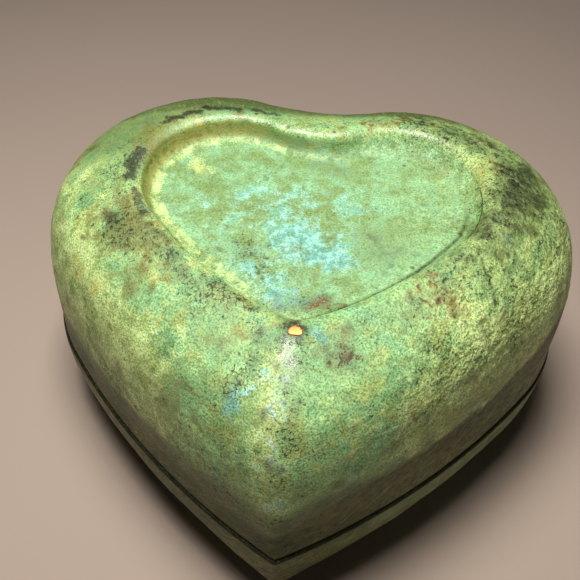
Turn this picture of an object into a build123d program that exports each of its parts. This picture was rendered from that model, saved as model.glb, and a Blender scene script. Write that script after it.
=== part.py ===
"""Heart-shaped trinket box: two cast bronze shells with a lift-off lid.

The rest plane is z = 0, the heart's tip points along -Y and the box is symmetric about X = 0.
Every horizontal outline is a heart drawn with five arcs: a shallow cleft, two lobes and two
flanks that meet at the tip. A curved wall is a loft through hearts that blend from one size to
another. All lengths are in millimetres.
"""
import os
from dataclasses import dataclass
from math import atan2, copysign, cos, hypot, pi, sin, sqrt

from build123d import *

# ---- Heights ----------------------------------------------------------------------------------
FELT_PROUD = 0.5          # the felt under the foot stands this far below the metal
BASE_HEIGHT = 24.2        # metal foot to the top of the base's rim
LID_RELIEF = 0.8          # the lid's outer edge stands this far above the base's rim
LID_HEIGHT = 41.2         # the lid's outer edge to its crest
LIP_DROP = 1.0            # the rounded lip falls this far from the crest to the recess's edge
RECESS_WALL = 3.6         # the lip's lower edge to the floor of the sunk heart

# ---- Walls and fits ---------------------------------------------------------------------------
EDGE_WALL = 2.6           # the lid's wall at its straight bore
SKIN = 3.4                # cast thickness everywhere else
RIM_PROUD = 1.0           # the base's rim stands out past the lid's edge
RIM_EASE = 0.6            # eased outer corner of the base's rim
LAND_INSET = 1.2          # the lid's edge is relieved this far in, down to the land it rests on
BORE_HEIGHT = 6.5         # straight part of the lid's bore
COLLAR_CLEARANCE = 0.3    # running clearance between the collar and the lid's bore
COLLAR_WALL = 1.2
COLLAR_ABOVE = 5.0        # how far the collar stands up into the lid
COLLAR_BELOW = 5.0        # how far it reaches down into the base
COLLAR_EASE = 0.4         # lead-in on the collar's top edges
BRAZE_GAP = 0.05          # filler between the collar and its seat

# ---- Pads -------------------------------------------------------------------------------------
FELT_THICKNESS = 1.3
FELT_BORDER = 3.0         # bronze left around the felt under the foot
LINING_THICKNESS = 2.0
LINING_MARGIN = 0.8       # the lining stops this far short of the bowl's curved wall
GLUE_GAP = 0.1            # glue line between a pad and the metal

# ---- Curved walls -----------------------------------------------------------------------------
# Each profile is a cubic curve of points (share of the way inwards, share of the height).
# The lid leans out a little above its edge, turns a boxy shoulder and rises gently to its crest.
LID_PROFILE = ((0.0, 0.0), (-0.079, 0.82), (0.16, 0.895), (0.87, 1.0))
# The base drops steeply from its rim and turns under to the foot.
BASE_PROFILE = ((0.0, 0.0), (0.0, 0.36), (0.04, 1.0), (1.0, 1.0))
PROW_DELAY = 1.15         # power by which the tip's ridge turns under later than the flanks
PINCH = 0.0086            # curvature that hollows the flanks between rim and foot, in 1/mm
PINCH_SKEW = 1.35         # power that puts the deepest hollow nearer the foot
TYPICAL_SPAN = 22.0       # from a wall's outer heart to its inner heart, used for its slope
WALL_STEPS = 18           # hearts in a curved wall
ROUND_STEPS = 5           # hearts in a rounded lip or cove
COVE_RUN = 1.2            # the recess's wall comes in this far on its way down to the floor


@dataclass
class Heart:
    """A heart outline. Its right half is a cleft arc, a lobe arc and a flank arc."""
    lobe_x: float         # lobe centre, to the right of the symmetry plane
    lobe_y: float
    lobe_r: float
    tip: float            # the tip is at y = -tip
    bend: float           # curvature of the flank, 1 / radius; negative for a hollow flank
    cleft_r: float        # radius of the fillet between the lobes

    def cleft_centre_y(self):
        """The cleft arc's centre is on the symmetry plane, and it touches both lobes."""
        return self.lobe_y + sqrt((self.lobe_r + self.cleft_r) ** 2 - self.lobe_x ** 2)

    def flank_centre(self):
        """The flank arc touches the lobe and passes through the tip."""
        radius = 1 / self.bend
        reach = radius - self.lobe_r
        run, rise = -self.lobe_x, -self.tip - self.lobe_y
        span = hypot(run, rise)
        along = (reach ** 2 - radius ** 2 + span ** 2) / (2 * span)
        across = copysign(sqrt(reach ** 2 - along ** 2), radius)
        return (self.lobe_x + (along * run + across * rise) / span,
                self.lobe_y + (along * rise - across * run) / span)

    def inset(self, distance):
        """The parallel heart inside this one, or outside it for a negative distance."""
        centre_x, centre_y = self.flank_centre()
        radius = 1 / self.bend - distance
        tip = copysign(sqrt(radius ** 2 - centre_x ** 2), radius) - centre_y
        return Heart(self.lobe_x, self.lobe_y, self.lobe_r - distance, tip, 1 / radius,
                     self.cleft_r + distance)

    def blend(self, other, share, tip_share=None):
        """The heart a share of the way to another; its tip may have a share of its own."""
        def mix(name, amount=share):
            return getattr(self, name) * (1 - amount) + getattr(other, name) * amount
        tip = mix("tip", share if tip_share is None else tip_share)
        return Heart(mix("lobe_x"), mix("lobe_y"), mix("lobe_r"), tip, mix("bend"), mix("cleft_r"))

    def face(self, z):
        """The heart as a flat face at height z."""
        cleft = (0, self.cleft_centre_y())
        lobe = (self.lobe_x, self.lobe_y)
        flank = self.flank_centre()
        tip = (0, -self.tip)
        lobe_start = direction(lobe, cleft)
        lobe_end = direction(flank, lobe, self.bend)
        tip_angle = direction(flank, tip, self.bend)
        joint = on_circle(lobe, self.lobe_r, lobe_start)
        lobe_middle = on_circle(lobe, self.lobe_r, (lobe_start + lobe_end) / 2)
        shoulder = on_circle(lobe, self.lobe_r, lobe_end)
        flank_middle = on_circle(flank, 1 / self.bend, (lobe_end + tip_angle) / 2)
        dip = (0, cleft[1] - self.cleft_r)
        return Pos(0, 0, z) * make_face([
            ThreePointArc(mirrored(joint), dip, joint),
            ThreePointArc(joint, lobe_middle, shoulder),
            ThreePointArc(shoulder, flank_middle, tip),
            ThreePointArc(tip, mirrored(flank_middle), mirrored(shoulder)),
            ThreePointArc(mirrored(shoulder), mirrored(lobe_middle), mirrored(joint)),
        ])


def direction(start, end, sign=1):
    """Angle of the line from one point to another, or back again for a negative sign."""
    turn = copysign(1, sign)
    return atan2(turn * (end[1] - start[1]), turn * (end[0] - start[0]))


def on_circle(centre, radius, angle):
    """Point on a circle."""
    return (centre[0] + radius * cos(angle), centre[1] + radius * sin(angle))


def mirrored(point):
    """The same point on the heart's left half."""
    return (-point[0], point[1])


# ---- The driving hearts and levels ------------------------------------------------------------
SEAM = Heart(lobe_x=23.0, lobe_y=0.0, lobe_r=35.8, tip=66.6, bend=1 / 165.7, cleft_r=61.3)
RECESS = Heart(lobe_x=17.2, lobe_y=-2.0, lobe_r=18.5, tip=38.4, bend=1 / 83.5, cleft_r=21.4)
FOOT = Heart(lobe_x=14.5, lobe_y=0.0, lobe_r=25.5, tip=48.0, bend=1 / 3400, cleft_r=41.2)
BASE_RIM = SEAM.inset(-RIM_PROUD)
COLLAR = SEAM.inset(EDGE_WALL + COLLAR_CLEARANCE)
COLLAR_INSIDE = COLLAR.inset(COLLAR_WALL)

BASE_TOP = FELT_PROUD + BASE_HEIGHT
LID_EDGE = BASE_TOP + LID_RELIEF
CREST = LID_EDGE + LID_HEIGHT
LIP_EDGE = CREST - LIP_DROP
RECESS_FLOOR = LIP_EDGE - RECESS_WALL
CREST_SHARE = LID_PROFILE[-1][0]
BOWL_FLOOR = FELT_PROUD + SKIN


def profile_step(profile, height, t, depth):
    """One heart of a curved wall: its share inwards, its rise, and its inset for a depth of skin."""
    values = ((1 - t) ** 3, 3 * t * (1 - t) ** 2, 3 * t * t * (1 - t), t ** 3)
    slopes = (-3 * (1 - t) ** 2, 3 * (1 - t) * (1 - 3 * t), 3 * t * (2 - 3 * t), 3 * t * t)
    share, rise = (sum(v * point[axis] for v, point in zip(values, profile)) for axis in (0, 1))
    run, climb = (sum(s * point[axis] for s, point in zip(slopes, profile)) for axis in (0, 1))
    run *= TYPICAL_SPAN
    climb *= height
    length = hypot(run, climb)
    return share, rise * height - depth * run / length, depth * climb / length


def lid_hearts(depth=0.0):
    """Faces up the lid's wall, at a depth below its outer skin."""
    faces = []
    for step in range(WALL_STEPS):
        share, rise, inset = profile_step(LID_PROFILE, LID_HEIGHT, step / (WALL_STEPS - 1), depth)
        faces.append(SEAM.blend(RECESS, share).inset(inset).face(LID_EDGE + rise))
    return faces


def base_hearts(depth=0.0):
    """Faces down the base's wall, at a depth inside its outer skin."""
    start = BASE_TOP - RIM_EASE
    height = start - FELT_PROUD
    faces = []
    for step in range(WALL_STEPS):
        share, drop, inset = profile_step(BASE_PROFILE, height, step / (WALL_STEPS - 1), depth)
        heart = BASE_RIM.blend(FOOT, share, share ** PROW_DELAY)
        heart.bend -= PINCH * sin(pi * share ** PINCH_SKEW)
        faces.append(heart.inset(inset).face(start - drop))
    return faces


def slab(heart, low, high):
    """An upright block with a heart outline."""
    return extrude(heart.face(low), high - low)


def quarter_turn():
    """Pairs (sine, 1 - cosine) of evenly spaced angles over a quarter circle."""
    angles = [pi / 2 * step / (ROUND_STEPS - 1) for step in range(ROUND_STEPS)]
    return [(sin(angle), 1 - cos(angle)) for angle in angles]


def sunk_heart():
    """The space of the recess: a rounded lip, a coved wall and a flat floor."""
    lip = [SEAM.blend(RECESS, CREST_SHARE + (1 - CREST_SHARE) * inward).face(CREST - LIP_DROP * down)
           for inward, down in quarter_turn()]
    cove = [RECESS.inset(COVE_RUN * inward).face(LIP_EDGE - RECESS_WALL * down)
            for down, inward in quarter_turn()]
    return loft(lip) + loft(cove)


def make_lid_shell():
    """Puffed lid with a relieved edge, a hollow underside and a heart sunk into its top."""
    body = loft(lid_hearts())
    body += loft([SEAM.inset(LAND_INSET).face(BASE_TOP), SEAM.face(LID_EDGE)], ruled=True)
    bore = slab(SEAM.inset(EDGE_WALL), BASE_TOP, BASE_TOP + BORE_HEIGHT)
    hollow = loft(lid_hearts(SKIN)) - slab(BASE_RIM, RECESS_FLOOR - SKIN, CREST)
    return body - sunk_heart() - bore - hollow


def make_base_shell():
    """Bowl with a proud eased rim, a seat for the collar and a pocket for the felt."""
    body = loft(base_hearts())
    body += loft([BASE_RIM.face(BASE_TOP - RIM_EASE), BASE_RIM.inset(RIM_EASE).face(BASE_TOP)], ruled=True)
    collar_seat = slab(COLLAR.inset(-BRAZE_GAP), BASE_TOP - COLLAR_BELOW, BASE_TOP)
    bowl = loft(base_hearts(SKIN)) & slab(COLLAR_INSIDE, FELT_PROUD, BASE_TOP)
    pocket = slab(FOOT.inset(FELT_BORDER - GLUE_GAP), FELT_PROUD, FELT_THICKNESS + GLUE_GAP)
    return body - collar_seat - bowl - pocket


def make_locating_collar():
    """Strip brazed inside the base's rim that keeps the lid from sliding sideways."""
    outside = slab(COLLAR, BASE_TOP - COLLAR_BELOW, BASE_TOP + COLLAR_ABOVE)
    inside = slab(COLLAR_INSIDE, BASE_TOP - COLLAR_BELOW, BASE_TOP + COLLAR_ABOVE)
    strip = outside - inside
    top = strip.faces().sort_by(Axis.Z)[-1]
    return chamfer(top.edges(), COLLAR_EASE)


def make_foot_felt_pad():
    """Heart of felt glued into the foot's pocket, which the box stands on."""
    return slab(FOOT.inset(FELT_BORDER), 0, FELT_THICKNESS)


def make_lining_pad():
    """Heart of padded lining that lies on the bowl's floor."""
    low = BOWL_FLOOR + GLUE_GAP
    return slab(FOOT.inset(LINING_MARGIN), low, low + LINING_THICKNESS)


PIECES = {
    "lid_shell": make_lid_shell,
    "base_shell": make_base_shell,
    "locating_collar": make_locating_collar,
    "lining_pad": make_lining_pad,
    "foot_felt_pad": make_foot_felt_pad,
}

if __name__ == "__main__":
    os.makedirs("parts", exist_ok=True)
    for name, make in PIECES.items():
        export_step(make(), f"parts/{name}.step")
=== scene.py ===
"""Looks for the heart-shaped trinket box: two cast bronze shells under a mottled green patina.

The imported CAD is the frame. The lid, the bowl and the two pads are rebuilt here as dense meshes on
the same heart outlines, with casting marks in the geometry; the brass collar is the CAD's own.
The helpers that draw hearts work in millimetres, as the CAD does, and mesh_from_rings turns them
into metres.
"""
import math

import bpy
import numpy as np
from mathutils import Matrix, Vector, noise


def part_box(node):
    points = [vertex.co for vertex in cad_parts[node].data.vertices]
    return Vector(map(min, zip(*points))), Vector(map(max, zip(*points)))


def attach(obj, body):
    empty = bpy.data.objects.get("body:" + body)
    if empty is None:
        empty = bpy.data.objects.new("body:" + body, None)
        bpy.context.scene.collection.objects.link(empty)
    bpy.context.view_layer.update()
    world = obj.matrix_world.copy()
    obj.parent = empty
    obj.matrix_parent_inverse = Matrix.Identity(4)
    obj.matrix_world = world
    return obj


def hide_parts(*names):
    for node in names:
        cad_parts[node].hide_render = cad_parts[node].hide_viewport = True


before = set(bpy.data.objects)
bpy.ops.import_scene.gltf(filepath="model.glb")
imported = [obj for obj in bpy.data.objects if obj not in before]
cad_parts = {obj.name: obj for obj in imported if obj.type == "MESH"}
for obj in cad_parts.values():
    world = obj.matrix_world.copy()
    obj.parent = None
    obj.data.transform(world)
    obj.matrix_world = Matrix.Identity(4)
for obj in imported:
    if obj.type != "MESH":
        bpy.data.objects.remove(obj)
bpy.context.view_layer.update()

MM = 0.001


def box_mm(node):
    """Lowest and highest corner of a CAD node, in millimetres."""
    return [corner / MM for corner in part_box(node)]


lid_low, lid_high = box_mm("lid_shell")
base_low = box_mm("base_shell")[0]
collar_low = box_mm("locating_collar")[0]
lining_low, lining_high = box_mm("lining_pad")
felt_low, felt_high = box_mm("foot_felt_pad")

# ---- Levels, from the CAD frame ------------------------------------------------
LAND = lid_low.z                     # the plane where the lid rests on the base
CREST = lid_high.z
FOOT_Z = base_low.z
SEAT_Z = collar_low.z                # the ledge the collar stands on

# ---- Shape of the box, as in the CAD, in millimetres ---------------------------
RELIEF = 0.8                         # the lid's outer edge stands above its land
LAND_INSET = 1.2
EDGE_WALL = 2.6
SKIN = 3.4
BORE_HEIGHT = 6.5
COLLAR_INSET = 2.9                   # the collar's outside, in from the lid's edge
COLLAR_WALL = 1.2
RIM_PROUD = 1.0
RIM_EASE = 0.6
LIP_DROP = 1.0
RECESS_WALL = 3.6
COVE_RUN = 1.2
FELT_BORDER = 3.0
LINING_MARGIN = 0.8
LID_EDGE = LAND + RELIEF
FLOOR_Z = CREST - LIP_DROP - RECESS_WALL

LID_PROFILE = ((0.0, 0.0), (-0.079, 0.82), (0.16, 0.895), (0.87, 1.0))
BASE_PROFILE = ((0.0, 0.0), (0.0, 0.36), (0.04, 1.0), (1.0, 1.0))
PROW_DELAY = 1.15
PINCH = 0.0086
PINCH_SKEW = 1.35
TYPICAL_SPAN = 22.0
FLARE = 0.45                         # the visual lid's edge reaches out over the base's rim

# ---- Mesh density --------------------------------------------------------------
CLEFT_CELLS, LOBE_CELLS, FLANK_CELLS = 20, 126, 110   # on each half of a ring
HALF_RING = CLEFT_CELLS + LOBE_CELLS + FLANK_CELLS
RING = 2 * HALF_RING
CLEFT, TIP = 0, HALF_RING            # ring positions on the symmetry plane
FLOOR_CELLS, COVE_CELLS, LIP_CELLS, DOME_CELLS = 36, 9, 8, 100
RECESS_ROWS = FLOOR_CELLS + COVE_CELLS
CREST_ROW = RECESS_ROWS + LIP_CELLS
ROW_PITCH = 0.6                      # between rows just outside the crest, about
BASE_CELLS = 48


# ---- Hearts and rings ----------------------------------------------------------
class Heart:
    """A heart outline from tangent arcs; bend is the flank's curvature, negative if hollow."""

    def __init__(self, lobe_x, lobe_y, lobe_r, tip, bend, cleft_r):
        self.values = np.array((lobe_x, lobe_y, lobe_r, tip, bend, cleft_r), float)

    def flank_centre(self):
        lobe_x, lobe_y, lobe_r, tip, bend, _ = self.values
        radius = 1 / bend
        reach = radius - lobe_r
        to_tip = np.array((-lobe_x, -tip - lobe_y))
        span = np.hypot(*to_tip)
        along = (reach ** 2 - radius ** 2 + span ** 2) / (2 * span)
        across = math.copysign(math.sqrt(reach ** 2 - along ** 2), radius)
        ahead = to_tip / span
        return np.array((lobe_x, lobe_y)) + along * ahead + across * np.array((ahead[1], -ahead[0]))

    def inset(self, distance):
        lobe_x, lobe_y, lobe_r, _, bend, cleft_r = self.values
        centre = self.flank_centre()
        radius = 1 / bend - distance
        tip = math.copysign(math.sqrt(radius ** 2 - centre[0] ** 2), radius) - centre[1]
        return Heart(lobe_x, lobe_y, lobe_r - distance, tip, 1 / radius, cleft_r + distance)

    def blend(self, other, share, tip_share=None):
        mixed = self.values * (1 - share) + other.values * share
        if tip_share is not None:
            mixed[3] = self.values[3] * (1 - tip_share) + other.values[3] * tip_share
        return Heart(*mixed)

    def outline(self):
        """RING points, from the cleft down the right side to the tip and back up the left."""
        lobe_x, lobe_y, lobe_r, tip, bend, cleft_r = self.values
        lobe = np.array((lobe_x, lobe_y))
        cleft = np.array((0, lobe_y + math.sqrt((lobe_r + cleft_r) ** 2 - lobe_x ** 2)))
        flank = self.flank_centre()
        radius = 1 / bend
        shoulder = direction(flank, lobe, radius)
        right = np.concatenate((
            arc(cleft, cleft_r, -math.pi / 2, direction(cleft, lobe), CLEFT_CELLS),
            arc(lobe, lobe_r, direction(lobe, cleft), shoulder, LOBE_CELLS),
            arc(flank, radius, shoulder, direction(flank, np.array((0, -tip)), radius), FLANK_CELLS),
            [(0, -tip)],
        ))
        left = right[-2:0:-1] * (-1, 1)
        return np.concatenate((right, left))


def direction(start, end, sign=1.0):
    """Angle of the line between two points, turned round for a negative sign."""
    step = (end - start) * math.copysign(1, sign)
    return math.atan2(step[1], step[0])


def arc(centre, radius, start, end, cells):
    """The first points of each of an arc's cells."""
    angles = np.linspace(start, end, cells + 1)[:-1]
    return centre + radius * np.stack((np.cos(angles), np.sin(angles)), 1)


SEAM = Heart(lobe_x=23.0, lobe_y=0.0, lobe_r=35.8, tip=66.6, bend=1 / 165.7, cleft_r=61.3)
RECESS = Heart(lobe_x=17.2, lobe_y=-2.0, lobe_r=18.5, tip=38.4, bend=1 / 83.5, cleft_r=21.4)
FOOT = Heart(lobe_x=14.5, lobe_y=0.0, lobe_r=25.5, tip=48.0, bend=1 / 3400, cleft_r=41.2)
BASE_RIM = SEAM.inset(-RIM_PROUD)
COLLAR_INSIDE = SEAM.inset(COLLAR_INSET + COLLAR_WALL)


def ring(heart, height):
    """A heart outline at one height, as RING points in space."""
    plan = heart.outline()
    return np.column_stack((plan, np.full(len(plan), height)))


def filled(edge, cells, crown=0.0):
    """Rings that close an edge ring towards its middle, raised by crown at the centre."""
    centre = np.array((0, (edge[CLEFT, 1] + edge[TIP, 1]) / 2, edge[:, 2].mean()))
    rings = []
    for step in range(1, cells + 1):
        share = 1 - step / cells
        closer = centre + (edge - centre) * share
        closer[:, 2] = edge[:, 2] + crown * (1 - share ** 2)
        rings.append(closer)
    return rings


def profile(points, height, cells, depth=0.0):
    """(share, rise, inset) along a curved wall at even distances, at a depth under its skin."""
    t = np.linspace(0, 1, 600)[:, None]
    controls = np.array(points)
    curve = ((1 - t) ** 3 * controls[0] + 3 * t * (1 - t) ** 2 * controls[1]
             + 3 * t * t * (1 - t) * controls[2] + t ** 3 * controls[3])
    flat = curve * (TYPICAL_SPAN, height)
    travelled = np.concatenate(([0], np.cumsum(np.hypot(*np.diff(flat, axis=0).T))))
    slope = np.gradient(flat, axis=0)
    slope /= np.hypot(*slope.T)[:, None]
    even = np.linspace(0, travelled[-1], cells + 1)
    share, rise = (np.interp(even, travelled, values) for values in (curve[:, 0], flat[:, 1]))
    run, climb = (np.interp(even, travelled, values) for values in slope.T)
    return list(zip(share, rise - depth * run, depth * climb))


def lid_wall(cells, depth=0.0):
    """Rings up the lid's wall from its edge to its crest."""
    return [ring(SEAM.blend(RECESS, share).inset(inset), LID_EDGE + rise)
            for share, rise, inset in profile(LID_PROFILE, CREST - LID_EDGE, cells, depth)]


def base_wall(cells, depth=0.0):
    """Rings down the base's wall from below its eased rim to the foot."""
    start = LAND - RIM_EASE
    rings = []
    for share, drop, inset in profile(BASE_PROFILE, start - FOOT_Z, cells, depth):
        share = max(share, 0.0)
        heart = BASE_RIM.blend(FOOT, share, share ** PROW_DELAY)
        heart.values[4] -= PINCH * math.sin(math.pi * share ** PINCH_SKEW)
        rings.append(ring(heart.inset(inset), start - drop))
    return rings


def quarter_angles(cells):
    """Angles from a right angle down to zero."""
    return np.linspace(math.pi / 2, 0, cells + 1)


def clipped(rings, low, high):
    """The rings between two heights, with new rings exactly at both heights."""
    heights = np.array([points[0, 2] for points in rings])
    if heights[0] > heights[-1]:
        return clipped(rings[::-1], low, high)[::-1]
    inner = heights[(heights > low + 0.05) & (heights < high - 0.05)]
    kept = []
    for height in (low, *inner, high):
        above = int(np.clip(np.searchsorted(heights, height), 1, len(heights) - 1))
        share = (height - heights[above - 1]) / (heights[above] - heights[above - 1])
        kept.append(rings[above - 1] * (1 - share) + rings[above] * share)
    return kept


# ---- Grids: softening, noise and casting marks ---------------------------------
def smoothstep(low, high, value):
    share = np.clip((value - low) / (high - low), 0, 1)
    return share * share * (3 - 2 * share)


def normals(grid):
    """Unit normals of a grid of rings, out of the metal."""
    around = np.roll(grid, -1, 1) - np.roll(grid, 1, 1)
    normal = np.cross(around, np.gradient(grid, axis=0))
    return normal / np.maximum(np.linalg.norm(normal, axis=2, keepdims=True), 1e-9)


def soften(grid, weight, passes, axis):
    """Relaxes a grid of points along its rings (axis 1) or across them (axis 0)."""
    weight = np.broadcast_to(weight, grid.shape[:2])[..., None] * 0.5
    for _ in range(passes):
        if axis == 1:
            middle = (np.roll(grid, 1, 1) + np.roll(grid, -1, 1)) / 2
        else:
            middle = grid.copy()
            middle[1:-1] = (grid[2:] + grid[:-2]) / 2
        grid = grid + weight * (middle - grid)
    return grid


def field(grid, pitch, octaves=3, seed=0.0, roughness=0.55):
    """Fractal noise, about -1 to 1, with features of about pitch millimetres."""
    offset = Vector((seed * 17.3, seed * 5.9, seed * 11.1))
    values = [noise.fractal(Vector(point) + offset, roughness, 2.0, octaves)
              for point in grid.reshape(-1, 3) / pitch]
    return np.array(values).reshape(grid.shape[:-1])


def near_tip(reach):
    """1 on the symmetry plane at the tip, falling away over some ring points to both sides."""
    return np.exp(-((np.arange(RING) - TIP) / reach) ** 2)


# ---- Meshes --------------------------------------------------------------------
def mesh_from_rings(name, grid, materials, zones=None, inner_rows=()):
    """A closed mesh from rings in millimetres; the first and last rings are single points.

    Faces between the rows named in inner_rows take the second material.
    """
    rows = len(grid)
    points = np.concatenate((grid[0, :1], grid[1:-1].reshape(-1, 3), grid[-1, :1])) * MM
    last = len(points) - 1
    index = 1 + np.arange((rows - 2) * RING).reshape(rows - 2, RING)
    ahead = np.roll(index, -1, 1)
    first_fan = [(0, b, a) for a, b in zip(index[0], ahead[0])]
    quads = np.stack((index[:-1], ahead[:-1], ahead[1:], index[1:]), -1).reshape(-1, 4)
    last_fan = [(last, a, b) for a, b in zip(index[-1], ahead[-1])]
    mesh = bpy.data.meshes.new(name)
    mesh.from_pydata(points.tolist(), [], first_fan + quads.tolist() + last_fan)
    for material in materials:
        mesh.materials.append(material)
    slots = np.zeros(rows - 1, np.int32)
    slots[list(inner_rows)] = 1
    mesh.polygons.foreach_set("material_index", np.repeat(slots, RING))
    mesh.shade_smooth()
    for layer, values in (zones or {}).items():
        flat = np.concatenate((values[0, :1], values[1:-1].reshape(-1, 4), values[-1, :1]))
        attribute = mesh.color_attributes.new(layer, "FLOAT_COLOR", "POINT")
        attribute.data.foreach_set("color", flat.astype(np.float32).ravel())
    mesh.update()
    piece = bpy.data.objects.new(name, mesh)
    bpy.context.scene.collection.objects.link(piece)
    return piece


# ---- Patina zones, with painted light and shade, painted as values on the mesh ---
class Zones:
    """Named masks over a grid of rings; each is 0 to 1 at every point."""

    LAYERS = {"zones_a": ("cyan", "yellow", "dark", "rust"),
              "zones_b": ("brown", "gold", "polish_and_glare", "olive"),
              "zones_c": ("pits", "pale", "pebbles", "grime_and_shade"),
              "zones_d": ("ochre", "cracks", "speckle", "shade")}

    def __init__(self, grid):
        self.grid = grid
        self.masks = {name: np.zeros(grid.shape[:2])
                      for names in self.LAYERS.values() for name in names}
        self.ragged = 0.6 * field(grid, 4.0, 3, seed=3) + 0.6 * field(grid, 1.6, 3, seed=4)
        self.drift = np.stack([field(grid, 6.0, 3, seed=seed) for seed in (31, 32)], -1)

    def add(self, name, values):
        self.masks[name] = np.maximum(self.masks[name], values)

    def spread(self, name, distance, strength, soft, ragged):
        """Fills a mask inside distance 1, with a soft ragged edge."""
        distance = distance + ragged * self.ragged
        self.add(name, strength * (1 - smoothstep(1 - soft, 1 + soft, distance)))

    def patch(self, name, x, y, length, width, turn=0.0, strength=1.0, soft=0.9, ragged=0.5):
        """An oval patch, its half-length turned from +X by some degrees."""
        angle = math.radians(turn)
        plan = self.grid[..., :2] + 1.5 * self.drift
        right, up = plan[..., 0] - x, plan[..., 1] - y
        along = right * math.cos(angle) + up * math.sin(angle)
        across = up * math.cos(angle) - right * math.sin(angle)
        self.spread(name, np.hypot(along / length, across / width), strength, soft, ragged)

    def streak(self, name, start, end, width, strength=1.0, soft=0.8, ragged=0.5):
        """A stroke between two plan points."""
        start, end = np.array(start, float), np.array(end, float)
        plan = self.grid[..., :2] + 0.7 * self.drift
        step = end - start
        share = np.clip((plan - start) @ step / (step @ step), 0, 1)
        nearest = start + share[..., None] * step
        distance = np.linalg.norm(plan - nearest, axis=2) / width
        self.spread(name, distance, strength, soft, ragged)

    def patches(self, name, *ovals):
        """Several patches of one mask: (x, y, length, width, turn, strength) each."""
        for oval in ovals:
            self.patch(name, *oval)

    def streaks(self, name, *strokes):
        """Several streaks of one mask: (start, end, width, strength) each."""
        for stroke in strokes:
            self.streak(name, *stroke)

    def layers(self):
        """The masks packed four to a colour layer."""
        return {layer: np.stack([self.masks[name] for name in names], -1)
                for layer, names in self.LAYERS.items()}


# ---- Shader nodes --------------------------------------------------------------
def srgb(red, green, blue):
    """Linear colour from 0-255 display values."""
    return tuple(((value / 255 + 0.055) / 1.055) ** 2.4 for value in (red, green, blue))


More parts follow.
